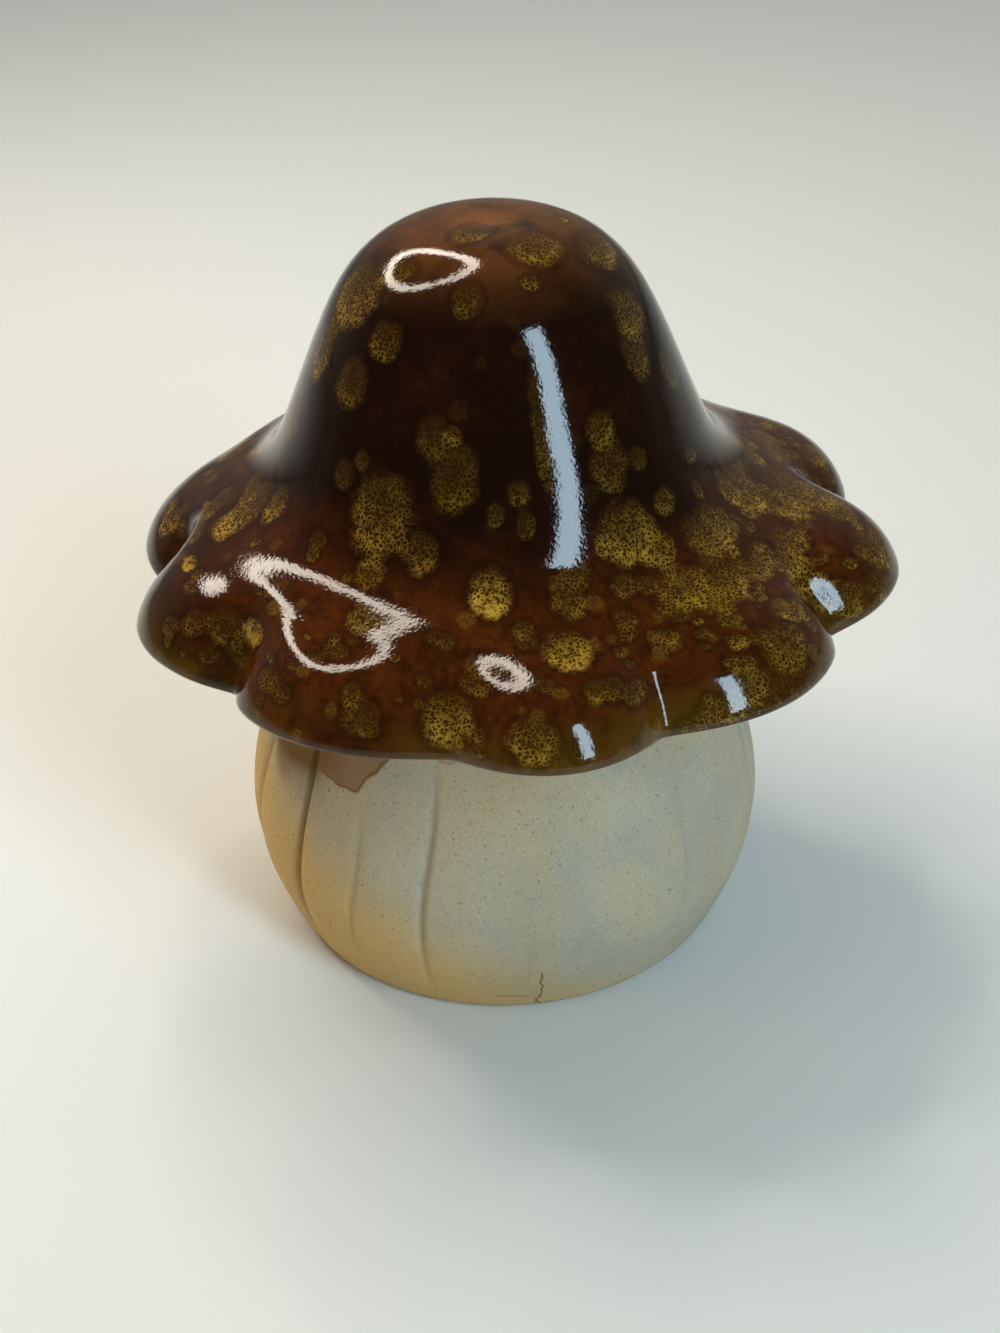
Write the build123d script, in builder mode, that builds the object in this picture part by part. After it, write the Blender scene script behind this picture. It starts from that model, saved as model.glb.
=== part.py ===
from build123d import *
from math import atan2, cos, pi, radians, sin, sqrt
import os

# Ceramic mushroom ornament in millimetres: a hollow glazed stoneware cap luted onto a hollow raw stem.
# +Z is up, the origin is the middle of the foot on the table, and the front of the ornament is -Y.
# Angles round the upright axis are counted from the front, positive towards +X.

# Bell of the cap, outside the glaze and along the middle of a lobe
# A level is a share of the height from the waist to the top or, for the brim, from the rim to the waist
total_height = 159.6
crown_radius = 28.2
crown_level = 0.826
flank_radius = 39.3
flank_level = 0.413
waist_radius = 48.5
waist_above_seat = 8.6
brim_width = 13.0
brim_level = 0.277

# Edge of the brim
rim_radius = 81.4
rim_height = 88.4
rim_roll = 3.0
rim_thickness = 6.6
rim_undercut = 1.6
rim_slope = (1, -0.4)
glaze_stop = 1.0

# Lobes of the brim: the creases between them, how far each lobe reaches, and how the brim sits askew
notch_angles = (-156.5, -122.0, -85.5, -49.5, -10.0, 22.0, 61.0, 97.5, 134.5, 169.0)
lobe_reach = (0.0, -0.8, -0.6, -1.8, 0.8, -1.0, 0.4, -1.1, 1.0, 0.0)
notch_depth = 6.5
crease_depth = 1.5
crease_softness = 0.2
brim_shift_x = 2.4
brim_shift_y = -0.8
brim_tilt_x = 0.0127
brim_tilt_y = -0.019

# Walls of the two castings and the coat of glaze
cap_wall = 5.5
cap_floor = 6.0
stem_wall = 5.5
stem_floor = 7.0
glaze_thickness = 0.8
hollow_radius = 40.3

# Stem, from the foot up to the neck
foot_radius = 48.5
foot_edge_radius = 2.5
vent_radius = 1.5
vent_offset = 18.0
belly_radius = 57.3
belly_height = 23.0
shoulder_radius = 50.0
shoulder_height = 58.0
neck_radius = 40.0
foot_flare = (0.75, 1)
neck_lean = (-0.12, 1)

# Joint between stem and cap: a spigot in the cap's opening, bedded in slip
seat_height = 96.5
seat_margin = 2.0
seat_recess = 2.0
spigot_radius = 31.5
spigot_length = 10.0
slip_bed = 1.5
slip_gap = 1.0

# Upright grooves in the stem
groove_angles = (-78.0, -52.0, -33.0, -19.0, 38.0, 77.0, 118.0, 152.0, -160.0, -121.0)
groove_radius = 2.0
groove_depth = 0.9
groove_end_clearance = 0.4
groove_shares = (0.08, 0.3, 0.55, 0.82)

# Fineness of the lofted cap
ring_spacing = 2.0
steps_per_lobe = 6

waist_height = seat_height + waist_above_seat
crown_height = waist_height + crown_level * (total_height - waist_height)
flank_height = waist_height + flank_level * (total_height - waist_height)
rim_top = rim_height + rim_roll
brim_radius = rim_radius - brim_width
brim_height = rim_top + brim_level * (waist_height - rim_top)
stem_top = seat_height - slip_bed
socket_radius = spigot_radius + slip_gap
seat_radius = neck_radius + seat_margin
rim_bottom = rim_top - rim_thickness
skirt_drop = 2 * rim_thickness


# The bell's outline from the crown to the rolled edge of the brim, and on down as a skirt that is trimmed off
with BuildLine(Plane.XZ) as bell:
    bell_top = Spline(
        (0, total_height),
        (crown_radius, crown_height),
        (flank_radius, flank_height),
        (waist_radius, waist_height),
        (brim_radius, brim_height),
        (rim_radius - rim_roll, rim_top),
        tangents=((1, 0), rim_slope),
    )
    Spline(
        bell_top @ 1,
        (rim_radius, rim_height),
        (rim_radius - rim_undercut, rim_bottom),
        (rim_radius - 2 * rim_undercut, rim_height - skirt_drop),
        tangents=(rim_slope, (0, -1)),
    )


def lobe_share(along):
    """How much of a lobe stands at a share of the way from one crease to the next: 0 to 1."""
    swell = sqrt(sin(pi * along) ** 2 + crease_softness**2) - crease_softness
    return swell / (sqrt(1 + crease_softness**2) - crease_softness)


def brim_share(radius):
    """How far a point of the bell belongs to the lobed brim: 0 on the dome, 1 at the rim."""
    share = (radius - waist_radius) / (rim_radius - rim_roll - waist_radius)
    share = min(max(share, 0), 1)
    return share * share * (3 - 2 * share)


def ring(radius, height, share, flat):
    """A closed curve round the bell, waved by the lobes where it belongs to the brim."""
    points = []
    for index, start in enumerate(notch_angles):
        end = notch_angles[(index + 1) % len(notch_angles)]
        sweep = (end - start) % 360
        for step in range(steps_per_lobe):
            lobe = lobe_share(step / steps_per_lobe)
            angle = radians(start + sweep * step / steps_per_lobe)
            reach = radius + share * (lobe_reach[index] * lobe - notch_depth * (1 - lobe))
            x = reach * sin(angle) + share * brim_shift_x
            y = -reach * cos(angle) + share * brim_shift_y
            tilt = brim_tilt_x * x + brim_tilt_y * y
            z = height + share * (tilt - crease_depth * (1 - lobe))
            points.append((x, y, height if flat else z))
    edges = []
    knots = [step / steps_per_lobe for step in range(steps_per_lobe + 1)]
    for first in range(0, len(points), steps_per_lobe):
        last = (first + steps_per_lobe) % len(points)
        stretch = points[first : first + steps_per_lobe] + [points[last]]
        tangents = [Vector(points[at + 1]) - Vector(points[at - 1]) for at in (first, last)]
        edges.append(Edge.make_spline(stretch, tangents=tangents, parameters=knots))
    return Wire(edges)


def bell_form(inset):
    """The bell as a filled form down to the end of its skirt, drawn in by inset all over."""
    outline = bell.wires()[0]
    count = round(outline.length / ring_spacing)
    rings = []
    for index in range(count):
        way = outline.length * (index + 1) / count
        point = outline.position_at(way, position_mode=PositionMode.LENGTH)
        along = outline.tangent_at(way, position_mode=PositionMode.LENGTH)
        share = brim_share(point.X) if point.Z > rim_top else 1
        radius = point.X + inset * along.Z
        height = point.Z - inset * along.X
        rings.append(ring(radius, height, share, flat=index == count - 1))
    return Solid.make_loft(rings)


# What lies below the brim: a shallow cone that follows the tilt of the brim, and the level seat at its middle
brim_plane = Plane(
    origin=(brim_shift_x, brim_shift_y, rim_height),
    x_dir=(1, 0, brim_tilt_x),
    z_dir=(-brim_tilt_x, -brim_tilt_y, 1),
).offset(-rim_height)
brim_inside = seat_height - seat_recess
underside_slope = (brim_inside - rim_bottom) / (rim_radius - rim_undercut - seat_radius)
underside_reach = notch_depth + rim_undercut
below_height = rim_height - 2 * skirt_drop
with BuildPart() as below_brim:
    with BuildSketch(Plane(brim_plane.origin, brim_plane.x_dir, -brim_plane.y_dir)):
        with BuildLine():
            Polyline(
                (0, brim_inside),
                (seat_radius, brim_inside),
                (rim_radius + notch_depth, rim_bottom - underside_slope * underside_reach),
                (rim_radius + notch_depth, below_height),
                (0, below_height),
                close=True,
            )
        make_face()
    revolve(axis=Axis(brim_plane.origin, brim_plane.z_dir))
    with Locations((0, 0, seat_height)):
        Cylinder(
            seat_radius,
            seat_height - below_height,
            align=(Align.CENTER, Align.CENTER, Align.MAX),
        )

# Glaze: a coat over the whole top of the cap and round the edge of the brim, which stops short of its bottom
with BuildPart() as cap_glaze:
    add(bell_form(0))
    with Locations(brim_plane.offset(rim_bottom + glaze_stop)):
        Cylinder(
            rim_radius + notch_depth,
            2 * skirt_drop,
            align=(Align.CENTER, Align.CENTER, Align.MAX),
            mode=Mode.SUBTRACT,
        )
    add(bell_form(glaze_thickness), mode=Mode.SUBTRACT)
cap_glaze.part.label = "cap_glaze"

# Cap: the stoneware under the glaze, hollow in the dome, with a round opening in its floor
hollow_floor = seat_height + cap_floor
skin = glaze_thickness + cap_wall
crown_lean = atan2(total_height - flank_height, flank_radius)
flank_lean = (waist_radius - flank_radius) / (flank_height - waist_height)
with BuildPart() as cap:
    add(bell_form(glaze_thickness))
    add(below_brim.part, mode=Mode.SUBTRACT)
    with BuildSketch(Plane.XZ):
        with BuildLine():
            dome_inside = Spline(
                (0, total_height - skin),
                (crown_radius - skin * sin(crown_lean), crown_height - skin * cos(crown_lean)),
                (flank_radius - skin, flank_height),
                (hollow_radius, hollow_floor),
                tangents=((1, 0), (flank_lean, -1)),
            )
            Polyline(dome_inside @ 1, (0, hollow_floor), (0, total_height - skin))
        make_face()
    revolve(axis=Axis.Z, mode=Mode.SUBTRACT)
    with Locations((0, 0, seat_height)):
        Cylinder(
            socket_radius,
            2 * cap_floor,
            align=(Align.CENTER, Align.CENTER, Align.CENTER),
            mode=Mode.SUBTRACT,
        )
cap.part.label = "cap"

# Slip: a bed on the stem's shoulder and a sleeve round the spigot, squeezed out in a small bead
with BuildPart() as luting_ring:
    with BuildSketch(Plane.XZ):
        with BuildLine():
            bead_low = (neck_radius, stem_top)
            bead_high = (neck_radius, seat_height)
            Polyline(
                bead_high,
                (socket_radius, seat_height),
                (socket_radius, hollow_floor),
                (spigot_radius, hollow_floor),
                (spigot_radius, stem_top),
                bead_low,
            )
            ThreePointArc(bead_low, (neck_radius + slip_bed / 2, (stem_top + seat_height) / 2), bead_high)
        make_face()
    revolve(axis=Axis.Z)
luting_ring.part.label = "luting_ring"

# Stem: a hollow bulb on a flat foot, open at the spigot and vented through the foot
spigot_bore = spigot_radius - stem_wall
with BuildPart() as stem:
    with BuildSketch(Plane.XZ):
        with BuildLine():
            bulb = Spline(
                (foot_radius, 0),
                (belly_radius, belly_height),
                (shoulder_radius, shoulder_height),
                (neck_radius, stem_top),
                tangents=(foot_flare, neck_lean),
            )
            Polyline(
                bulb @ 1,
                (spigot_radius, stem_top),
                (spigot_radius, stem_top + spigot_length),
                (spigot_bore, stem_top + spigot_length),
                (spigot_bore, stem_top - stem_wall),
            )
            bulb_inside = Spline(
                (spigot_bore, stem_top - stem_wall),
                (shoulder_radius - stem_wall, shoulder_height),
                (belly_radius - stem_wall, belly_height),
                (foot_radius - stem_wall, stem_floor),
            )
            Polyline(bulb_inside @ 1, (0, stem_floor), (0, 0), bulb @ 0)
        make_face()
    revolve(axis=Axis.Z)
    with Locations((0, vent_offset, 0)):
        Cylinder(vent_radius, 2 * stem_floor, mode=Mode.SUBTRACT)
    foot_edge = stem.edges().filter_by(GeomType.CIRCLE).group_by(Axis.Z)[0].sort_by(SortBy.RADIUS)[-1]
    fillet(foot_edge, foot_edge_radius)
    groove_clear = groove_radius + groove_end_clearance
    groove_cut = groove_radius - groove_depth
    groove_offsets = (groove_clear, groove_cut, groove_cut, groove_clear)
    groove_points = []
    for share, offset in zip(groove_shares, groove_offsets):
        on_bulb = bulb @ share
        groove_points.append((on_bulb.X + offset, on_bulb.Y))
    for groove_angle in groove_angles:
        facing = radians(groove_angle)
        groove_plane = Plane((0, 0, 0), (sin(facing), -cos(facing), 0), (-cos(facing), -sin(facing), 0))
        with BuildLine(groove_plane) as groove:
            Spline(groove_points)
        with BuildSketch(Plane(groove.line @ 0, z_dir=groove.line % 0)):
            Circle(groove_radius)
        sweep(path=groove.line, mode=Mode.SUBTRACT)
stem.part.label = "stem"

os.makedirs("parts", exist_ok=True)
export_step(cap.part, "parts/cap.step")
export_step(cap_glaze.part, "parts/cap_glaze.step")
export_step(luting_ring.part, "parts/luting_ring.step")
export_step(stem.part, "parts/stem.step")
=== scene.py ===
import random
from math import cos, pi, radians, sin

import bpy
import numpy as np
from mathutils import Matrix, Vector


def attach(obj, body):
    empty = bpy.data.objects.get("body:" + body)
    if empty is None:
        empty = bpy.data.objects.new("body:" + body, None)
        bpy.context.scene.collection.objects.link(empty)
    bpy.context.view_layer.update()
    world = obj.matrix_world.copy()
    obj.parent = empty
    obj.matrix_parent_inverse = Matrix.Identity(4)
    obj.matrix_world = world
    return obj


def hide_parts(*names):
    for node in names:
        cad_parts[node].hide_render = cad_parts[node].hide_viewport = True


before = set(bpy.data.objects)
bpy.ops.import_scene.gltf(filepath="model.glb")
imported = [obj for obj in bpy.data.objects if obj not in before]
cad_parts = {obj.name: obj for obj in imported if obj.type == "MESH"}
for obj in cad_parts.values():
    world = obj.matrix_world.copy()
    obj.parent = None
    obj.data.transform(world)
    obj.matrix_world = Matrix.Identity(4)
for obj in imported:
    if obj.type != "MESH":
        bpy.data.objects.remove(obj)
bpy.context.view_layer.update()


# CAP. A bell of buff stoneware with a wavy brim of soft lobes, cast hollow and pierced underneath for the
# stem. The clay shows only on the underside of the brim, raw and matte. All the rest lies under the glaze.
MM = 0.001
# Outlines are drawn in millimetres as radius and height, from the crown down and round.
bell_line = [
    (0, 159.6), (19.2, 157.4), (28.2, 150.1), (34.3, 139.6), (39.3, 127.6), (42.4, 120.0), (45.2, 114.0),
    (48.6, 109.2), (53.0, 105.4), (58.6, 102.5), (64.4, 100.0), (70.0, 97.5), (75.0, 94.9), (78.5, 92.0),
    (80.3, 89.4), (81.4, 87.0), (81.6, 85.9), (81.1, 85.1), (80.1, 84.8),
]
underside_line = [
    (77.6, 84.75), (76.0, 85.0), (70.0, 86.6), (62.0, 88.8), (54.0, 91.1), (46.0, 93.4), (42.4, 94.4),
]
seat_radius, seat_height, seat_rim_height = 42.0, 96.5, 94.8
socket_radius, hollow_floor, hollow_radius = 32.5, 102.5, 40.3
hollow_line = [
    (0, 153.3), (17.5, 151.2), (24.2, 144.6), (29.0, 136.5), (33.0, 127.6), (37.0, 115.6),
    (hollow_radius, 103.3),
]
glaze_thickness = 0.8
cap_spacing, hollow_spacing = 2.0, 4.0
# The radii between which the brim takes up its lobes, and between which each lobe is puffed up on top.
brim_start, brim_full = 58.0, 78.4
puff_start, puff_top, puff_fall, puff_end = 62.0, 71.0, 72.0, 81.0
# Each notch: its angle from the front, how deep it cuts in, how deep its crease is and how far in that runs.
notch_angles = [-156.5, -122.0, -85.5, -49.5, -10.0, 22.0, 61.0, 97.5, 134.5, 169.0]
gash_depths = [2.0, 2.0, 2.0, 3.0, 0.5, 1.0, 3.0, 2.5, 2.0, 2.0]
crease_depths = [1.4, 1.6, 1.4, 1.6, 0.5, 0.6, 2.0, 1.6, 1.4, 1.4]
crease_lengths = [12, 12, 12, 10, 8, 6, 13, 12, 12, 12]
# How much further out than the bell's line the lobe after each notch reaches.
lobe_reaches = [-3.0, -0.8, -0.6, -1.8, 0.8, -1.0, 0.4, -1.1, -1.5, -2.0]
columns_per_lobe = 42
clay_buff = (180, 168, 140)
clay_grey = (163, 158, 140)
clay_ochre = (190, 160, 108)
ochre_and_warm_light = (197, 160, 92)
clay_pit = (96, 82, 62)
groove_shade = (112, 82, 42)
scratch_red = (150, 98, 66)
clay_roughness = 0.85
clay_grain_depth = 0.25
# The ochre on the stem's left is partly the clay's own and partly painted warm light from the low left. It
# fades out along a ragged slanting line, the painted edge of the brim's shadow, that meets the foot so far to
# the right of the middle.
warm_light_edge, warm_light_raggedness, warm_light_slant = 33, 30, 1.5


def smooth_line(points, spacing, mirrored_start=False):
    """Points at even spacing along a natural cubic, which is level at a mirrored start on the axis."""
    knots = np.array(points, float)
    if mirrored_start:
        knots = np.vstack([knots[1] * (-1, 1), knots])
    along = np.concatenate([[0], np.cumsum(np.hypot(*np.diff(knots, axis=0).T))])
    gap = np.diff(along)
    sums = np.eye(len(knots))
    bends = np.zeros_like(knots)
    for i in range(1, len(knots) - 1):
        sums[i, i - 1 : i + 2] = gap[i - 1], 2 * (gap[i - 1] + gap[i]), gap[i]
        bends[i] = 6 * ((knots[i + 1] - knots[i]) / gap[i] - (knots[i] - knots[i - 1]) / gap[i - 1])
    bends = np.linalg.solve(sums, bends)
    at = np.linspace(along[1] if mirrored_start else 0, along[-1], 3000)
    i = np.clip(np.searchsorted(along, at, side="right") - 1, 0, len(gap) - 1)
    before, after, g = (at - along[i])[:, None], (along[i + 1] - at)[:, None], gap[i][:, None]
    fine = (bends[i] * after**3 + bends[i + 1] * before**3) / (6 * g)
    fine += (knots[i] / g - bends[i] * g / 6) * after + (knots[i + 1] / g - bends[i + 1] * g / 6) * before
    way = np.concatenate([[0], np.cumsum(np.hypot(*np.diff(fine, axis=0).T))])
    even = np.linspace(0, way[-1], round(way[-1] / spacing) + 1)
    return np.stack([np.interp(even, way, fine[:, 0]), np.interp(even, way, fine[:, 1])], 1)


def set_in(line, depth):
    """The line moved inwards by a depth, where it is an outline drawn from the crown down."""
    run = np.gradient(line, axis=0)
    run /= np.hypot(*run.T)[:, None]
    moved = line + depth * np.stack([run[:, 1], -run[:, 0]], 1)
    moved[:, 0] = np.maximum(moved[:, 0], 0)
    return moved


def turned(name, outline, angles, loop=False):
    """A mesh turned from an outline, with the row of the outline and the column of each of its points."""
    points, rows, columns, places = [], [], [], []
    for row, (radius, height) in enumerate(outline):
        first = len(points)
        if radius < 1e-6:
            points.append((0, 0, height * MM))
            rows.append(row)
            columns.append(0)
            places.append([first] * len(angles))
            continue
        for column, angle in enumerate(angles):
            points.append((radius * sin(angle) * MM, -radius * cos(angle) * MM, height * MM))
            rows.append(row)
            columns.append(column)
        places.append(list(range(first, first + len(angles))))
    faces = []
    for upper, lower in zip(places, places[1:] + places[:1] if loop else places[1:]):
        for j in range(len(angles)):
            k = (j + 1) % len(angles)
            corners = tuple(dict.fromkeys((upper[j], lower[j], lower[k], upper[k])))
            if len(corners) > 2:
                faces.append(corners)
    mesh = bpy.data.meshes.new(name)
    mesh.from_pydata(points, [], faces)
    return mesh, np.array(rows), np.array(columns)


def mark(mesh, name, values):
    """Keeps one number per point of the mesh under a name."""
    mesh.attributes.new(name, "FLOAT", "POINT").data.foreach_set("value", np.asarray(values, np.float32))


def soft_step(values, low, high):
    """0 below low, 1 above high and a soft step between them."""
    share = np.clip((values - low) / (high - low), 0, 1)
    return share * share * (3 - 2 * share)


class Field:
    """A socket in a node tree. Sums on fields add the nodes that work them out."""

    def __init__(self, tree, socket):
        self.tree = tree
        self.socket = socket

    def make(self, kind, settings, inputs, out=0):
        """One of the outputs of a new node, with its settings made first and its inputs set or linked."""
        node = self.tree.nodes.new(kind)
        for name, value in settings.items():
            setattr(node, name, value)
        for key, value in inputs.items():
            if isinstance(value, Field):
                self.tree.links.new(value.socket, node.inputs[key])
            else:
                node.inputs[key].default_value = value
        return Field(self.tree, node.outputs[out])

    def maths(self, operation, *values):
        return self.make("ShaderNodeMath", {"operation": operation}, dict(enumerate(values)))

    def __add__(self, other):
        return self.maths("ADD", self, other)

    def __sub__(self, other):
        return self.maths("SUBTRACT", self, other)

    def __rsub__(self, other):
        return self.maths("SUBTRACT", other, self)

    def __mul__(self, other):
        return self.maths("MULTIPLY", self, other)

    def __truediv__(self, other):
        return self.maths("DIVIDE", self, other)

    def __pow__(self, other):
        return self.maths("POWER", self, other)

    __radd__ = __add__
    __rmul__ = __mul__

    def rise(self, low, high):
        """0 below low, 1 above high and a soft step between them."""
        ends = {"Value": self, "From Min": low, "From Max": high}
        return self.make("ShaderNodeMapRange", {"interpolation_type": "SMOOTHSTEP"}, ends)

    def blend(self, first, second):
        """The first colour where this field is 0 and the second where it is 1."""
        return self.make("ShaderNodeMix", {"data_type": "RGBA"}, {0: self, 6: first, 7: second}, 2)

    def axes(self):
        """The three coordinates of a place."""
        node = self.make("ShaderNodeSeparateXYZ", {}, {0: self}).socket.node
        return [Field(self.tree, axis) for axis in node.outputs]


def geometry_tree(name, inputs):
    """An empty geometry tree with the mesh, a material and named inputs going in, and a field for each."""
    tree = bpy.data.node_groups.new(name, "GeometryNodeTree")
    tree.interface.new_socket("Geometry", in_out="INPUT", socket_type="NodeSocketGeometry")
    tree.interface.new_socket("Geometry", in_out="OUTPUT", socket_type="NodeSocketGeometry")
    tree.interface.new_socket("Material", in_out="INPUT", socket_type="NodeSocketMaterial")
    for entry in inputs:
        kind = "NodeSocketObject" if entry == "Lines" else "NodeSocketFloat"
        tree.interface.new_socket(entry, in_out="INPUT", socket_type=kind)
    start = tree.nodes.new("NodeGroupInput")
    return tree, {socket.name: Field(tree, socket) for socket in start.outputs if socket.name}


def marked(field, name):
    """The number kept under a name on each point, in a geometry tree."""
    return field.make("GeometryNodeInputNamedAttribute", {"data_type": "FLOAT"}, {"Name": name})


def shape_with(tree, geometry, fields, place, pin=None):
    """Ends a tree: the points go to their places, a pin may make a hole, and the piece gets its material."""
    moved = geometry.make("GeometryNodeSetPosition", {}, {"Geometry": geometry, "Position": place})
    if pin:
        moved = moved.make("GeometryNodeMeshBoolean", {"operation": "DIFFERENCE"}, {0: moved, 1: pin})
    whole = moved.make("GeometryNodeRealizeInstances", {}, {"Geometry": moved})
    dressed = whole.make("GeometryNodeSetMaterial", {}, {"Geometry": whole, "Material": fields["Material"]})
    tree.links.new(dressed.socket, tree.nodes.new("NodeGroupOutput").inputs[0])


def finish_piece(name, mesh, tree, values, node):
    """Makes a piece that the tree shapes and that rides on the ornament in place of its CAD node."""
    raw = bpy.data.objects.new(name + "_raw", mesh)
    bpy.context.scene.collection.objects.link(raw)
    modifier = raw.modifiers.new(tree.name, "NODES")
    modifier.node_group = tree
    for item in tree.interface.items_tree:
        if item.in_out == "INPUT" and item.name in values:
            modifier[item.identifier] = values[item.name]
    shaped = bpy.data.meshes.new_from_object(raw.evaluated_get(bpy.context.evaluated_depsgraph_get()))
    raw.modifiers.remove(modifier)
    bpy.data.objects.remove(raw)
    shaped.polygons.foreach_set("use_smooth", [True] * len(shaped.polygons))
    shaped.set_sharp_from_angle(angle=radians(50))
    piece = bpy.data.objects.new(name, shaped)
    bpy.context.scene.collection.objects.link(piece)
    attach(piece, "root")
    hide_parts(node)


def tint(colour):
    """A colour written as the 0 to 255 values of a screen, as the shader's own linear one."""
    parts = [c / 255 for c in colour]
    return tuple(c / 12.92 if c <= 0.04045 else ((c + 0.055) / 1.055) ** 2.4 for c in parts) + (1,)


def new_material(name):
    """A material, its shader and a field of the object's own coordinates."""
    material = bpy.data.materials.new(name)
    material.use_nodes = True
    tree = material.node_tree
    shader = next(n for n in tree.nodes if n.type == "BSDF_PRINCIPLED")
    place = Field(tree, tree.nodes.new("ShaderNodeTexCoord").outputs["Object"])
    return material, shader, place


def noise(place, size, detail=3, rough=0.5, out=0):
    """Clouds about so many millimetres wide."""
    sizes = {"Vector": place, "Scale": 1 / (size * MM), "Detail": detail, "Roughness": rough}
    return place.make("ShaderNodeTexNoise", {}, sizes, out)


def shaken(place, size, amount):
    """The place moved by clouds of a size, up to half the amount either way."""
    cloud = noise(place, size, 2, 0.5, 1)
    aside = place.make("ShaderNodeVectorMath", {"operation": "SUBTRACT"}, {0: cloud, 1: (0.5, 0.5, 0.5)})
    aside = place.make("ShaderNodeVectorMath", {"operation": "SCALE"}, {0: aside, "Scale": amount})
    return place.make("ShaderNodeVectorMath", {"operation": "ADD"}, {0: place, 1: aside})


def pits(place, spacing, size):
    """Small round pits, of sizes up to a share of their spacing and missing in places."""
    cells = {"Vector": place, "Scale": 1 / (spacing * MM)}
    away = place.make("ShaderNodeTexVoronoi", {}, cells)
    chance = place.make("ShaderNodeTexVoronoi", {}, cells, 1)
    chance = place.make("ShaderNodeSeparateColor", {}, {0: chance})
    return (1 - (away / (chance * size + 0.02)).rise(0.6, 1.0)) * chance.rise(0.3, 0.6)


def kept(place, name):
    """The number kept under a name on each point, in a material, and 0 where there is none."""
    return place.make("ShaderNodeAttribute", {"attribute_name": name}, {}, 2)


def raw_clay(name, ochre_and_light_amount=0.0, stains_and_shade=(), cracks=(), scratches=()):
    """Matte unglazed stoneware: buff with ochre streaks, grain, pits and the marks of making and firing. It
    may also carry painted warm light on one side, painted shade among its stains and painted shade in its
    grooves.
    """
    material, shader, place = new_material(name)
    x, y, z = place.axes()
    colour = noise(place, 24, 4).rise(0.35, 0.7).blend(tint(clay_buff), tint(clay_grey))
    upright = place.make("ShaderNodeVectorMath", {"operation": "MULTIPLY"}, {0: place, 1: (1, 1, 0.16)})
    colour = (noise(upright, 14).rise(0.4, 0.8) * 0.5).blend(colour, tint(clay_ochre))
    # Painted warm light: the left side is tinted warm ochre, partly the clay's own and partly light from the
    # low left, cut off above along the painted line of the brim's shadow.
    if ochre_and_light_amount:
        ragged = (noise(upright, 20) - 0.5) * (warm_light_raggedness * MM)
        leftwards = ragged + warm_light_edge * MM - x - z * warm_light_slant
        colour = (leftwards.rise(-8 * MM, 34 * MM) * ochre_and_light_amount).blend(colour, tint(ochre_and_warm_light))
    grain = noise(place, 0.6, 4, 0.7)
    colour = (grain.rise(0.45, 0.85) * 0.5).blend(colour, tint(clay_pit))
    holes = pits(shaken(place, 1.2, 1.4 * MM), 0.9, 0.26) + pits(place, 6.0, 0.07)
    colour = (holes * 0.5).blend(colour, tint(clay_pit))
    # Stains, and painted shade given in the same way as a stain.
    for centre, reach, softness, tone, strength in stains_and_shade:
        ends = {0: shaken(place, 8, 7 * MM), 1: tuple(c * MM for c in centre)}
        off = place.make("ShaderNodeVectorMath", {"operation": "DISTANCE"}, ends, 1)
        within = 1 - off.rise((reach - softness) * MM, reach * MM)
        border = within * off.rise((reach - 2 * softness) * MM, (reach - softness) * MM)
        colour = (within * strength + border * 0.25).blend(colour, tint(tone))
    relief = grain * 0.35 - holes
    front = 1 - y.rise(-1 * MM, 0.0)
    for side, top, width in cracks:
        wandering = shaken(place, 5, 4.5 * MM).axes()[0]
        off = wandering.maths("ABSOLUTE", wandering - side * MM)
        line = (1 - off.rise(0.3 * width * MM, width * MM)) * (1 - z.rise(0.7 * top * MM, top * MM)) * front
        colour = (line * 0.75).blend(colour, tint(clay_pit))
        relief = relief - line * 1.5
    for side, height, half_length, width in scratches:
        off = z.maths("ABSOLUTE", z - height * MM + (noise(place, 3, 2) - 0.5) * (1.6 * MM))
        past_end = x.maths("ABSOLUTE", x - side * MM).rise(0.8 * half_length * MM, half_length * MM)
        line = (1 - off.rise(0.3 * width * MM, width * MM)) * (1 - past_end) * front
        colour = (line * 0.7).blend(colour, tint(scratch_red))
        relief = relief - line
    # Painted shade along the grooves.
    colour = (kept(place, "groove") * 0.75).blend(colour, tint(groove_shade))
    heights = {"Strength": 0.7, "Distance": clay_grain_depth * MM, "Height": relief}
    bump = relief.make("ShaderNodeBump", {}, heights)
    shader.inputs["Roughness"].default_value = clay_roughness
    place.tree.links.new(colour.socket, shader.inputs["Base Color"])
    place.tree.links.new(bump.socket, shader.inputs["Normal"])
    return material


# The lobes: each column of the bell belongs to one lobe, and stands at a share of the way across it.
lobe_angles, lobe_alongs, lobe_out, lobe_notch = [], [], [], []
for index, start in enumerate(notch_angles):
    after = (index + 1) % len(notch_angles)
    sweep = (notch_angles[after] - start) % 360
    for step in range(columns_per_lobe):
        along = step / columns_per_lobe
        lobe_angles.append(radians(start + sweep * along))
        lobe_alongs.append(along)
        lobe_out.append(lobe_reaches[index] * MM)
        lobe_notch.append(index if along < 0.5 else after)


def mark_lobes(mesh, outline, rows, columns, top_rows):
    """Notes where each point stands on its lobe, and how much it belongs to the brim and to its top."""
    radii = outline[:, 0]
    mark(mesh, "brim", soft_step(radii, brim_start, brim_full)[rows])
    puff = soft_step(radii, puff_start, puff_top) * (1 - soft_step(radii, puff_fall, puff_end))
    mark(mesh, "puff", np.where(top_rows, puff, 0)[rows])
    mark(mesh, "along", np.array(lobe_alongs)[columns])
    mark(mesh, "reach", np.array(lobe_out)[columns])
    notch = np.array(lobe_notch)[columns]
    share = soft_step((radii[rows] - brim_full) / np.array(crease_lengths)[notch], -1, 0) * MM
    mark(mesh, "crease", np.array(crease_depths)[notch] * share)
    mark(mesh, "gash", np.array(gash_depths)[notch] * share)


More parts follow.
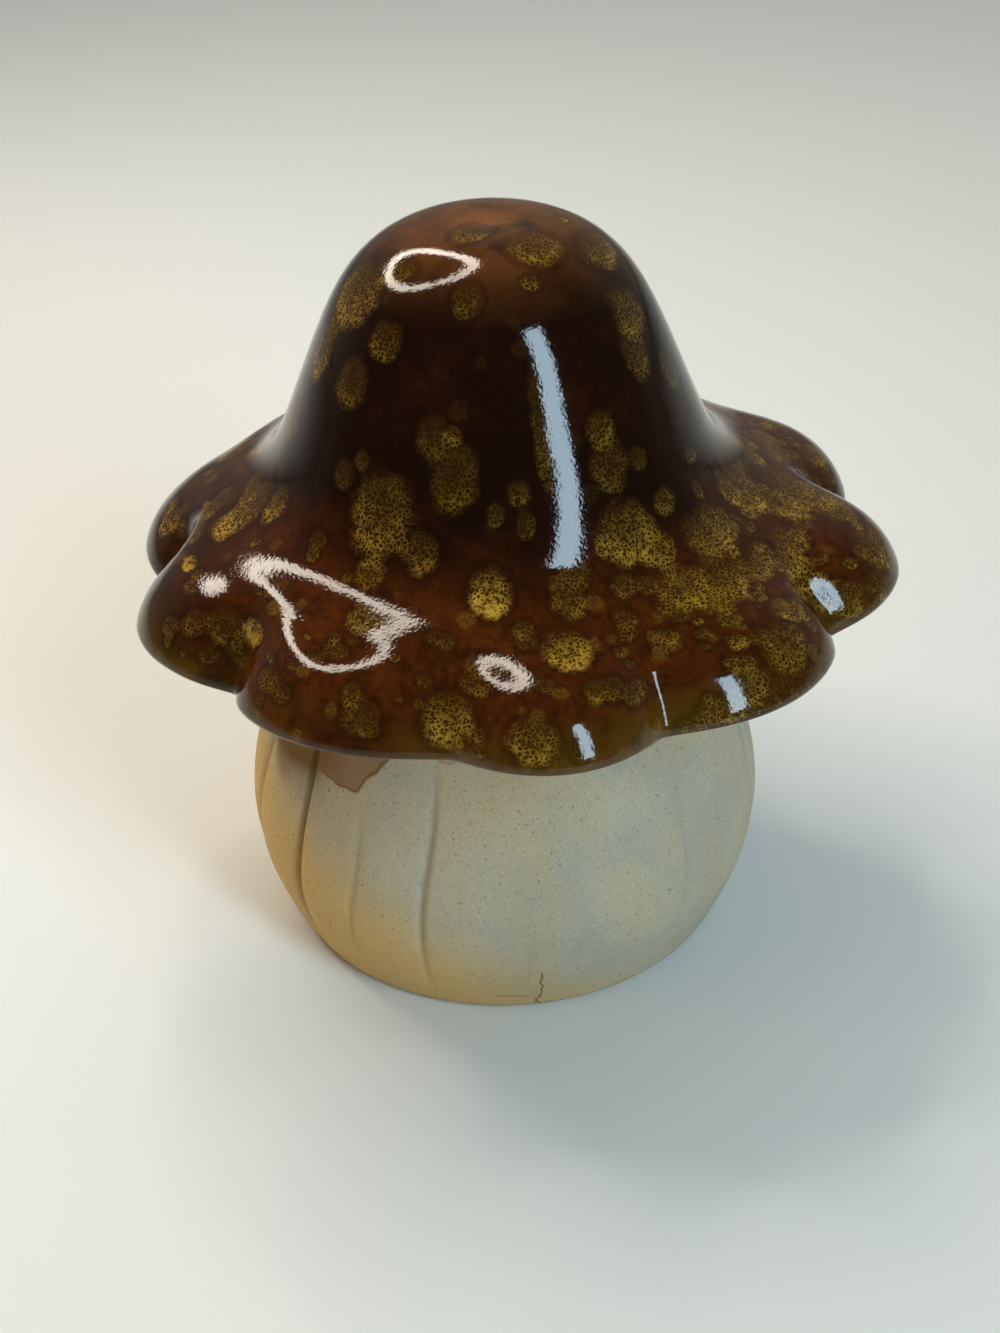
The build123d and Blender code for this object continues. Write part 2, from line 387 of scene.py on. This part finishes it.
lobe_numbers = {
    "Notch depth": 6.5 * MM,
    "Dip": 1.2 * MM,
    "Puff": 0.8 * MM,
    "Crease softness": 0.14,
    "Shift X": 2.4 * MM,
    "Shift Y": -0.8 * MM,
    "Tilt X": 0.0127,
    "Tilt Y": -0.019,
    "Unevenness": 0.8 * MM,
}
lobed_brim, lobe = geometry_tree("lobed_brim", lobe_numbers)
bell = lobe["Geometry"]
brim, reach, crease, gash, puff = (
    marked(bell, name) for name in ("brim", "reach", "crease", "gash", "puff")
)
soft = lobe["Crease softness"]
across = marked(bell, "along") * pi
wave = across.maths("SINE", across)
swell = ((wave * wave + soft * soft) ** 0.5 - soft) / ((soft * soft + 1) ** 0.5 - soft)
x, y, z = bell.make("GeometryNodeInputPosition", {}, {}).axes()
radius = (x * x + y * y) ** 0.5 + 1e-6
narrow = (1 - swell) ** 4
inwards = brim * (lobe["Notch depth"] * (1 - swell) - reach * swell) + gash * narrow
grow = 1 - inwards / radius
lobe_x = x * grow + brim * lobe["Shift X"]
lobe_y = y * grow + brim * lobe["Shift Y"]
tilt = brim * (lobe["Tilt X"] * lobe_x + lobe["Tilt Y"] * lobe_y)
lobe_z = z + tilt + puff * lobe["Puff"] * swell - brim * lobe["Dip"] * (1 - swell) - crease * narrow
lobed = bell.make("ShaderNodeCombineXYZ", {}, {"X": lobe_x, "Y": lobe_y, "Z": lobe_z})
shape_with(lobed_brim, bell, lobe, shaken(lobed, 45, lobe["Unevenness"]))

outside = smooth_line(bell_line, cap_spacing, mirrored_start=True)
seat_line = [
    (seat_radius, seat_rim_height), (seat_radius, seat_height), (38.0, seat_height),
    (socket_radius, seat_height), (socket_radius, hollow_floor), (36.0, hollow_floor),
    (hollow_radius - 0.8, hollow_floor),
]
dome_inside = smooth_line(hollow_line, hollow_spacing, mirrored_start=True)
cap_outline = np.vstack([set_in(outside, glaze_thickness), underside_line, seat_line, dome_inside[::-1]])
cap_mesh, rows, columns = turned("cap", cap_outline, lobe_angles)
mark_lobes(cap_mesh, cap_outline, rows, columns, np.arange(len(cap_outline)) < len(outside))
cap_values = {**lobe_numbers, "Material": raw_clay("cap_clay")}
finish_piece("cap_bell", cap_mesh, lobed_brim, cap_values, "cap")


# GLAZE. A thick glossy brown glaze poured over the bell and fired on, which runs round the edge of the brim.
# It broke into mustard spots with a dark net in them, drawn long on the steep dome and crowded on the right
# of the brim.
glaze_dome = (26, 8, 2)
glaze_brim = (66, 28, 4)
glaze_rust = (86, 38, 8)
painted_crown_sheen = (112, 66, 30)
glaze_olive = (94, 70, 14)
glaze_dark = (19, 6, 1)
spot_ground = (46, 24, 4)
spot_thread = (170, 130, 46)
spot_olive = (148, 118, 18)
glaze_roughness, glaze_ior = 0.06, 1.38
glaze_ripple_depth = 0.3
glaze_spacing, glaze_inside_spacing, glaze_clearance = 0.8, 4.0, 0.1
glaze_lip = [(79.3, 84.8), (79.0, 84.85)]
# Ways down from the crown, in millimetres along the bell: where the painted pale sheen on the crown ends,
# where the warmer skirt begins and is full, and where the olive edge begins and is full.
crown_sheen_end, skirt_start, skirt_full, edge_start, edge_full = 32, 62, 92, 108, 120
# Spots seen from the front: angle, way down from the crown, half width, half length, brightness.
front_spots = [
    (-30, 68, 6.8, 9.5, 0.8), (-11, 59, 4.8, 7.8, 0.5), (-12, 51, 1.9, 1.9, 0.7), (-18, 52, 3.4, 4.7, 0.4),
    (32, 53, 3.4, 3.7, 0.7), (32, 60, 4.4, 6.0, 0.5), (32, 74, 7.0, 6.6, 1.0), (-18, 74, 3.4, 4.4, 0.6),
    (0, 66, 1.9, 2.7, 0.5), (46, 71, 3.2, 3.1, 0.6), (42, 61, 2.4, 2.7, 0.4), (-10, 26, 3.2, 4.0, 0.5),
    (36, 15, 6.0, 5.4, 0.8), (-30, 7, 4.0, 4.6, 0.7), (-68, 31, 8.0, 7.5, 0.9), (-54, 23, 5.0, 3.9, 0.6),
    (-40, 36, 4.0, 4.4, 0.6), (-50, 46, 4.8, 5.4, 0.5), (-72, 44, 4.5, 7.0, 0.9), (75, 23, 7.0, 4.8, 0.7),
    (61, 35, 5.0, 5.6, 0.7), (54, 42, 4.0, 6.2, 0.5), (70, 50, 3.6, 5.0, 0.5), (20, 23, 2.0, 1.9, 0.6),
    (14, 50, 2.2, 14.0, 0.5), (-39, 59, 1.9, 2.2, 0.35), (-44, 63, 2.8, 3.4, 0.35), (6, 62, 2.3, 2.8, 0.4),
    (-78, 60, 4.0, 7.0, 0.5), (-74, 83, 5.0, 9.0, 1.0), (-66, 76, 3.6, 5.0, 0.9), (-84, 91, 4.0, 5.0, 0.9),
    (-94, 107, 4.4, 4.0, 0.9), (-70, 99, 3.0, 2.4, 1.6), (-64, 102, 2.6, 2.2, 0.5),
    (-47.5, 103, 3.8, 4.2, 1.8), (-53, 105, 4.6, 5.4, 0.5), (-62, 111, 2.6, 2.2, 0.5),
    (-46, 77, 2.4, 2.4, 0.4), (-25, 88, 4.6, 5.0, 0.7), (-30, 95, 1.7, 2.0, 0.6), (-24, 108, 2.1, 3.0, 0.6),
    (-10, 111, 5.2, 5.8, 1.0), (-45, 94, 2.0, 2.6, 0.4),
    (-20, 114, 1.5, 1.7, 0.4), (-54, 113, 2.0, 2.0, 0.4), (54, 81, 8.0, 5.8, 0.85), (72, 83, 4.6, 4.6, 1.0),
    (78, 90, 5.4, 7.0, 1.0), (84, 97, 4.0, 4.6, 0.9), (38, 88, 5.8, 5.4, 0.9), (46, 91, 6.0, 5.4, 0.95),
    (55, 93, 5.0, 4.2, 0.9), (62, 98, 4.8, 5.2, 1.0), (62, 105, 3.4, 3.5, 1.0), (76, 109, 6.4, 5.2, 0.8),
    (28, 97, 2.5, 2.7, 0.7), (22, 94, 2.1, 2.2, 0.6), (19, 98, 1.7, 1.7, 0.5), (39, 99, 2.7, 2.5, 0.8),
    (48, 98, 2.0, 1.6, 0.7), (10.5, 95, 4.8, 5.3, 1.35), (14, 84, 3.6, 4.1, 0.7), (50, 105, 4.2, 3.2, 0.8),
    (43, 109, 6.2, 5.6, 0.7), (108, 93, 4.6, 4.6, 0.6), (63, 67, 2.6, 2.0, 0.5), (18, 108, 3.4, 2.9, 0.6),
    (-2, 81, 4.4, 5.4, 1.5), (4, 89, 2.3, 2.0, 0.6), (2, 113, 4.9, 4.3, 0.9), (-10, 92, 2.1, 2.5, 0.4),
    (12, 105, 2.6, 2.7, 0.6), (-2, 98, 1.9, 2.1, 0.4), (-6, 113, 2.5, 2.1, 0.6), (30, 116, 5.0, 3.0, 0.8),
    (26, 118, 3.6, 2.2, 0.7), (82, 101, 5.0, 4.4, 0.6), (65, 113, 4.4, 3.8, 0.6), (106, 105, 4.8, 4.6, 0.5),
    (-14, 103, 1.7, 2.3, 0.4), (-32, 102, 2.2, 2.3, 0.4), (-35, 111, 2.6, 2.0, 0.4),
]
# The other spots are strewn: those of the back and sides, the crowded net on the right, and faint ones.
glaze_random = random.Random(7)
narrowest_spot = 1.2
steep_start, steep_end = 20, 78
mm_per_degree = 0.8


def stands_clear(spot, other):
    """Whether two spots overlap little or not at all."""
    angle, way, wide, long = spot[:4]
    other_angle, other_way, other_wide, other_long = other[:4]
    clear_down = abs(way - other_way) > 0.7 * (long + other_long)
    return clear_down or abs(angle - other_angle) * mm_per_degree > 0.8 * (wide + other_wide)


def strewn_spots(count, angles, ways, widest, brightness):
    """Spots strewn between two angles and two ways down, up to a width and between two brightnesses."""
    spots = []
    while len(spots) < count:
        way = ways[0] + (ways[1] - ways[0]) * glaze_random.random() ** 0.6
        angle = glaze_random.uniform(*angles)
        wide = narrowest_spot + (widest - narrowest_spot) * glaze_random.random() ** 1.8
        stretch = (1.2, 1.9) if steep_start < way < steep_end else (0.8, 1.2)
        spot = (angle, way, wide, wide * glaze_random.uniform(*stretch))
        if all(stands_clear(spot, other) for other in spots):
            spots.append((*spot, glaze_random.uniform(*brightness)))
    return spots


all_spots = [
    *front_spots,
    *strewn_spots(95, angles=(92, 268), ways=(0, 121), widest=7.0, brightness=(0.4, 1.0)),
    *strewn_spots(64, angles=(30, 150), ways=(72, 120), widest=5.5, brightness=(0.5, 0.95)),
    *strewn_spots(210, angles=(-180, 180), ways=(66, 121), widest=4.4, brightness=(0.34, 0.62)),
    *strewn_spots(60, angles=(26, 150), ways=(76, 121), widest=5.5, brightness=(0.4, 0.65)),
]

coat = smooth_line(bell_line, glaze_spacing, mirrored_start=True)
coat_way = np.concatenate([[0], np.cumsum(np.hypot(*np.diff(coat, axis=0).T))])
coat_inside = smooth_line(bell_line, glaze_inside_spacing, mirrored_start=True)
coat_inside = set_in(coat_inside, glaze_thickness - glaze_clearance)
glaze_outline = np.vstack([coat, glaze_lip, coat_inside[::-1]])
glaze_mesh, rows, columns = turned("cap_glaze", glaze_outline, lobe_angles)
mark_lobes(glaze_mesh, glaze_outline, rows, columns, np.full(len(glaze_outline), True))
row_way = np.concatenate([coat_way, np.full(len(glaze_outline) - len(coat), coat_way[-1])])
mark(glaze_mesh, "edge", np.clip((row_way - edge_start) / (edge_full - edge_start), 0, 1)[rows])
mark(glaze_mesh, "skirt", soft_step(row_way, skirt_start, skirt_full)[rows])
# How much of the painted sheen on the crown each point gets.
mark(glaze_mesh, "crown", np.clip(1 - row_way / crown_sheen_end, 0, 1)[rows])
# Each point notes how deep it lies in the nearest spot and how bright that is, brightest at its lower end.
inside_spot = np.full(len(rows), -1.0)
glow = np.zeros(len(rows))
for angle, way, wide, long, bright in all_spots:
    aside = (np.array(lobe_angles)[columns] - radians(angle) + pi) % (2 * pi) - pi
    aside = aside * np.maximum(glaze_outline[rows, 0], 3.0) / wide
    down = (row_way[rows] - way) / long
    depth = 1 - np.hypot(aside, down)
    inside_spot = np.maximum(inside_spot, depth)
    here = 0.9 * bright**1.3 * (0.62 + 0.6 * np.clip(down, -1, 1)) * soft_step(depth, -0.5, 0.2)
    glow = np.maximum(glow, here)
mark(glaze_mesh, "spot", np.maximum(inside_spot, -0.6))
mark(glaze_mesh, "glow", glow)

# The ground: nearly black on the dome and warmer down the skirt, with rust and dark mottle in it, an olive
# edge and a painted pale sheen on the crown, a painted reflection of the pale room.
glaze, shader, place = new_material("brown_glaze")
cloud = noise(place, 12, 4, 0.55)
fleck = noise(place, 1.6, 4, 0.6)
patch = noise(place, 4.0, 3, 0.55)
skirt, spot, glow = (kept(place, name) for name in ("skirt", "spot", "glow"))
skirt = skirt * (place.axes()[0].rise(-80 * MM, -35 * MM) * 0.7 + 0.3)
brown = (skirt * 0.8 + (cloud - 0.5) * 0.9).rise(0.0, 0.9).blend(tint(glaze_dome), tint(glaze_brim))
rust = (cloud * 0.6 + fleck * 0.5).rise(0.52, 0.85) * (skirt * 0.6 + 0.15)
brown = rust.blend(brown, tint(glaze_rust))
mottle = 1 - (patch * 0.5 + fleck * 0.5).rise(0.4, 0.53)
brown = (mottle * (skirt * 0.3 + 0.15)).blend(brown, tint(glaze_dark))
olive = kept(place, "edge") * noise(place, 16).rise(0.3, 0.65)
brown = (olive * 0.7).blend(brown, tint(glaze_olive))
# Painted reflection: a pale sheen on the crown.
brown = (kept(place, "crown") * cloud.rise(0.15, 0.6)).blend(brown, tint(painted_crown_sheen))

# The spots: a ragged dark rim, a brown ground and a net of mustard threads, and tiny ones between them.
cells = {"Vector": shaken(place, 0.5, 0.5 * MM), "Scale": 1 / (0.85 * MM)}
border = place.make("ShaderNodeTexVoronoi", {"feature": "DISTANCE_TO_EDGE"}, cells)
thread = 1 - (border / (glow * 0.18 + 0.1)).rise(0.25, 1.0)
thread = thread * noise(place, 0.9, 2).rise(0.3, 0.55)
ragged = spot + (fleck - 0.5) * 0.35 + (patch - 0.5) * 0.6
within = ragged.rise(-0.15, 0.4)
middle = spot.rise(0.3, 0.8)
lit = glow * (patch.rise(0.3, 0.7) * 0.5 + 0.6) * (1 - middle * 0.35)
brown = (ragged.rise(-0.45, -0.1) * (1 - within) * 0.4).blend(brown, tint(glaze_dark))
brown = (within * 0.75).blend(brown, tint(spot_ground))
mustard = noise(place, 20, 2).rise(0.45, 0.7).blend(tint(spot_thread), tint(spot_olive))
solid = glow.rise(0.9, 1.6) * 0.12 + 0.03
brown = (within * (thread * 0.95 + solid) * lit).blend(brown, mustard)
small = pits(shaken(place, 3, 2 * MM), 6, 0.4)
brown = (small * (thread * 0.4 + 0.15) * (skirt * 0.3 + 0.08)).blend(brown, tint(spot_thread))
ripple = noise(place, 3.0, 2) * 0.6 + noise(place, 0.7, 2) * 0.4
heights = {"Strength": 0.18, "Distance": glaze_ripple_depth * MM, "Height": ripple}
bump = ripple.make("ShaderNodeBump", {}, heights)
shader.inputs["Roughness"].default_value = glaze_roughness
shader.inputs["IOR"].default_value = glaze_ior
place.tree.links.new(brown.socket, shader.inputs["Base Color"])
place.tree.links.new(bump.socket, shader.inputs["Normal"])
glaze_values = {**lobe_numbers, "Material": glaze}
finish_piece("glaze_coat", glaze_mesh, lobed_brim, glaze_values, "cap_glaze")


# SLIP. A bed of clay slip on the stem's shoulder and a sleeve round its spigot, squeezed out in a small bead.
# It stuck the raw cap to the raw stem, and was fired into one with both, hidden in the seat under the cap.
slip_outline = [
    (39.8, 96.45), (33.0, 96.45), (32.45, 96.6), (32.45, 102.4), (31.55, 102.4), (31.55, 95.1), (39.8, 95.05),
    (40.5, 95.3), (40.75, 95.75), (40.5, 96.25),
]
slip_columns = 160
slip_angles = [2 * pi * j / slip_columns for j in range(slip_columns)]
slip_mesh = turned("luting_ring", slip_outline, slip_angles, loop=True)[0]
hand_turned, slip = geometry_tree("hand_turned", ["Unevenness"])
clay = slip["Geometry"]
point = clay.make("GeometryNodeInputPosition", {}, {})
shape_with(hand_turned, clay, slip, shaken(point, 12, slip["Unevenness"]))
slip_values = {"Unevenness": 0.15 * MM, "Material": raw_clay("slip_clay")}
finish_piece("slip_ring", slip_mesh, hand_turned, slip_values, "luting_ring")


# STEM. A bulb of raw buff stoneware, cast hollow with a flat foot, a neck and a spigot that goes up into the
# cap. Its wall is pressed into shallow upright grooves, and glaze that ran down in the kiln stained it under
# the brim. Shade in the grooves and under the left of the brim, and warm light on its left, are painted in.
bulb_line = [(51.0, 2.4), (57.3, 23.0), (50.0, 58.0), (40.0, 95.0)]
foot_line = [(48.0, 0.0), (49.3, 0.35), (50.4, 1.25)]
bulb_inside_line = [(43.0, 7.0), (51.8, 23.0), (44.5, 58.0), (26.0, 89.5)]
neck_bore, spigot_radius, spigot_top, shoulder_height, floor_height = 26.0, 31.5, 105.0, 95.0, 7.0
vent_radius, vent_offset = 1.5, 18.0
stem_spacing, stem_inside_spacing = 1.0, 5.0
stem_columns = 560
# Columns stand closer together within so many degrees of a groove.
groove_reach, groove_crowding = 3.5, 3.0
points_per_groove = 30
# Grooves: angle from the front, lower and upper end, depth, half width.
grooves = [
    (-75.0, 10, 66, 1.4, 1.4), (-53.0, 3, 70, 2.4, 0.9), (-36.0, 8, 50, 0.6, 1.0), (-18.0, 8, 66, 1.2, 1.0),
    (3.0, 4, 30, 0.3, 1.2), (42.0, 12, 60, 0.5, 1.4), (77.0, 6, 70, 1.0, 1.6), (118.0, 4, 72, 1.6, 1.5),
    (152.0, 8, 66, 0.9, 1.3), (-160.0, 4, 72, 1.4, 1.5), (-121.0, 8, 66, 1.1, 1.4),
]
# Stains and painted shade: centre, reach, softness of the border, colour, strength.
stem_stains_and_shade = [
    # The first, soft one is partly stain and partly painted shade under the left of the brim.
    ((-46.0, -28.0, 62.0), 19.0, 9.0, (112, 80, 32), 0.75),
    ((-36.0, -37.0, 66.0), 14.0, 0.7, (118, 80, 36), 0.75),
    ((-11.0, -46.5, 69.0), 6.0, 0.7, (158, 114, 88), 0.4),
]
# A crack that climbs from the foot: place to the right of the middle, height, half width.
stem_cracks = [(6.2, 17.0, 0.35)]
# A level scratch: place to the right of the middle, height, half length, half width.
stem_scratches = [(-0.2, 5.4, 3.6, 0.35)]
# How strongly the ochre and the painted warm light tint the stem's left side.
stem_ochre_and_warm_light = 0.85

bulb = smooth_line(bulb_line, stem_spacing)
stem_outline = np.vstack([
    [(neck_bore, spigot_top), (spigot_radius, spigot_top)],
    [(spigot_radius, shoulder_height), (33.0, shoulder_height)],
    bulb[::-1],
    foot_line[::-1],
    [(radius, 0.0) for radius in (40.0, 25.0, 12.0, 0.0)],
    [(radius, floor_height) for radius in (0.0, 12.0, 25.0, 36.0)],
    smooth_line(bulb_inside_line, stem_inside_spacing),
])
turn = np.linspace(-180, 180, 3601)
apart = np.min([np.abs((turn - groove[0] + 180) % 360 - 180) for groove in grooves], axis=0)
crowding = np.cumsum(np.where(apart < groove_reach, groove_crowding, 1.0))
even = np.linspace(0, crowding[-1], stem_columns, endpoint=False)
stem_angles = radians(1) * np.interp(even, crowding, turn)
stem_mesh = turned("stem", stem_outline, stem_angles, loop=True)[0]

# The lines that the grooves follow, each wandering a little and running out at both ends.
line_points, line_edges, line_cut, line_wide = [], [], [], []
for angle, low, high, cut, wide in grooves:
    for i, height in enumerate(np.linspace(low, high, points_per_groove)):
        share = i / (points_per_groove - 1)
        at = radians(angle + 1.5 * sin(3 * share - 1.5) + 0.3 * sin(9 * share + angle))
        out = np.interp(height, bulb[:, 1], bulb[:, 0])
        if i:
            line_edges.append((len(line_points) - 1, len(line_points)))
        line_points.append((out * sin(at) * MM, -out * cos(at) * MM, height * MM))
        line_cut.append(cut * MM * sin(pi * min(max(share, 0.02), 0.98)) ** 0.5)
        line_wide.append(wide * MM)
groove_mesh = bpy.data.meshes.new("groove_lines")
groove_mesh.from_pydata(line_points, line_edges, [])
mark(groove_mesh, "cut", line_cut)
mark(groove_mesh, "wide", line_wide)
groove_lines = bpy.data.objects.new("groove_lines", groove_mesh)
bpy.context.scene.collection.objects.link(groove_lines)

grooved_stem, stem = geometry_tree("grooved_stem", ["Lines", "Unevenness"])
clay = stem["Geometry"]
lines = clay.make("GeometryNodeObjectInfo", {}, {"Object": stem["Lines"]}, "Geometry")
point = clay.make("GeometryNodeInputPosition", {}, {})
away = clay.make("GeometryNodeProximity", {"target_element": "EDGES"}, {0: lines}, "Distance")
nearest = clay.make("GeometryNodeSampleNearest", {"domain": "POINT"}, {"Geometry": lines})


def on_line(name):
    """The number kept under a name on the nearest point of the lines."""
    values = {"Geometry": lines, "Value": marked(clay, name), "Index": nearest}
    return clay.make("GeometryNodeSampleIndex", {"domain": "POINT", "data_type": "FLOAT"}, values)


def near_line(width):
    """1 on the lines, falling off to almost nothing at twice the width."""
    fall = (away / width) ** 2 * -1
    return fall.maths("EXPONENT", fall)


cut, wide = on_line("cut"), on_line("wide")
sink = cut * (near_line(wide) * 0.7 + near_line(wide * 4) * 0.3)
facing = clay.make("GeometryNodeInputNormal", {}, {})
sunk = facing.make("ShaderNodeVectorMath", {"operation": "SCALE"}, {0: facing, "Scale": sink * -1})
above_foot = point.axes()[2].rise(0.0, 12 * MM)
uneven = shaken(point, 30, stem["Unevenness"] * above_foot)
grooved = point.make("ShaderNodeVectorMath", {"operation": "ADD"}, {0: sunk, 1: uneven})
pin_sizes = {"Vertices": 24, "Radius": vent_radius * MM, "Depth": 30 * MM}
pin = clay.make("GeometryNodeMeshCylinder", {}, pin_sizes)
pin = clay.make("GeometryNodeTransform", {}, {"Geometry": pin, "Translation": (0, vent_offset * MM, 0)})
# How much painted shade each point gets, most along the middle of the deeper grooves.
shade = near_line(wide * 0.55) * cut.rise(0.0, 2 * MM)
groove_mark = {"Geometry": clay, "Name": "groove", "Value": shade}
shaded = clay.make("GeometryNodeStoreNamedAttribute", {}, groove_mark)
shape_with(grooved_stem, shaded, stem, grooved, pin)
stem_clay = raw_clay("stem_clay", stem_ochre_and_warm_light, stem_stains_and_shade, stem_cracks, stem_scratches)
stem_values = {"Lines": groove_lines, "Unevenness": 0.7 * MM, "Material": stem_clay}
finish_piece("stem_bulb", stem_mesh, grooved_stem, stem_values, "stem")
bpy.data.objects.remove(groove_lines)


# STUDIO. A wide pale table under soft lamps: a cool window in front on the right, a soft ceiling, a warm side
# lamp and a ring lamp behind on the left. The camera stands at the height and angle of the photograph.
table_grey = (214, 214, 209)
table_edge = 6
table_corners = [
    (-table_edge, -table_edge, 0), (table_edge, -table_edge, 0), (table_edge, table_edge, 0),
    (-table_edge, table_edge, 0),
]
table_mesh = bpy.data.meshes.new("table")
table_mesh.from_pydata(table_corners, [], [(0, 1, 2, 3)])
table = bpy.data.objects.new("table", table_mesh)
bpy.context.scene.collection.objects.link(table)
table_paint, shader, _ = new_material("table_paint")
shader.inputs["Base Color"].default_value = tint(table_grey)
shader.inputs["Roughness"].default_value = 0.6
table_mesh.materials.append(table_paint)
lamp_target = Vector((0, 0, 0.1))


def towards(bearing, height_angle, away):
    """The way to go from the ornament at a bearing from the front and an angle above the table."""
    bearing, height_angle = radians(bearing), radians(height_angle)
    level = away * cos(height_angle)
    return Vector((level * sin(bearing), -level * cos(bearing), away * sin(height_angle)))


def soft_lamp(name, bearing, height_angle, away, size, power, colour, mirrored=True):
    """A lamp with a soft cover, turned to the ornament."""
    light = bpy.data.lights.new(name, "AREA")
    light.shape = "RECTANGLE"
    light.size, light.size_y = size
    light.energy = power
    light.color = colour
    lamp = bpy.data.objects.new(name, light)
    way = towards(bearing, height_angle, away)
    lamp.location = lamp_target + way
    lamp.rotation_euler = (-way).to_track_quat("-Z", "Y").to_euler()
    lamp.visible_camera = False
    lamp.visible_glossy = mirrored
    bpy.context.scene.collection.objects.link(lamp)


soft_lamp("window_lamp", 36, 28, 1.3, size=(0.24, 1.0), power=14, colour=(0.62, 0.84, 1))
soft_lamp("ceiling_lamp", 180, 68, 2.0, size=(3.0, 3.0), power=21, colour=(0.92, 0.98, 1), mirrored=False)
soft_lamp("side_lamp", -75, 14, 1.2, size=(0.8, 0.8), power=3.8, colour=(1, 0.84, 0.6), mirrored=False)

ring_radius, ring_half_width, ring_steps = 0.2, 0.026, 96
ring_way = towards(-135, 56, 0.6)
ring_colour, ring_strength = (1, 0.9, 0.77, 1), 18
ring_points, ring_faces = [], []
for step in range(ring_steps):
    angle = 2 * pi * step / ring_steps
    for out in (ring_radius - ring_half_width, ring_radius + ring_half_width):
        ring_points.append((out * cos(angle), out * sin(angle), 0))
    near, far = 2 * step, 2 * ((step + 1) % ring_steps)
    ring_faces.append((near, near + 1, far + 1, far))
ring_mesh = bpy.data.meshes.new("ring_lamp")
ring_mesh.from_pydata(ring_points, [], ring_faces)
ring_turn = ring_way.to_track_quat("Z", "Y").to_matrix().to_4x4()
ring_mesh.transform(Matrix.Translation(lamp_target + ring_way) @ ring_turn)
ring_lamp = bpy.data.objects.new("ring_lamp", ring_mesh)
bpy.context.scene.collection.objects.link(ring_lamp)
ring_glow, shader, _ = new_material("ring_glow")
shader.inputs["Base Color"].default_value = (0, 0, 0, 1)
shader.inputs["Emission Color"].default_value = ring_colour
shader.inputs["Emission Strength"].default_value = ring_strength
ring_mesh.materials.append(ring_glow)
ring_lamp.visible_camera = False

# The room is dim, and paler at the back below the ceiling.
room_tint = (232, 226, 210)
room_dim, room_pale = 0.08, 0.2
room = bpy.data.worlds.new("room")
room.use_nodes = True
backdrop = room.node_tree.nodes["Background"]
around = Field(room.node_tree, room.node_tree.nodes.new("ShaderNodeTexCoord").outputs["Generated"])
_, back, above = around.axes()
pale = back.rise(-0.1, 0.6) * (1 - above.rise(0.45, 0.85))
backdrop.inputs["Color"].default_value = tint(room_tint)
room.node_tree.links.new((room_dim + pale * room_pale).socket, backdrop.inputs["Strength"])
bpy.context.scene.world = room

camera_place = (-0.0003, -0.3707, 0.3031)
camera_lens, camera_film = 54.0, 36.0
tilt_down, roll = radians(33.69), radians(1.81)
level_right = np.array((1, 0, 0))
level_up = np.array((0, sin(tilt_down), cos(tilt_down)))
right = cos(roll) * level_right - sin(roll) * level_up
up = sin(roll) * level_right + cos(roll) * level_up
view = bpy.data.cameras.new("camera")
view.lens, view.sensor_width = camera_lens, camera_film
camera = bpy.data.objects.new("camera", view)
camera_turn = Matrix([right, up, np.cross(right, up)]).transposed().to_4x4()
camera.matrix_world = Matrix.Translation(camera_place) @ camera_turn
bpy.context.scene.collection.objects.link(camera)
bpy.context.scene.camera = camera
bpy.context.scene.view_settings.view_transform = "Standard"
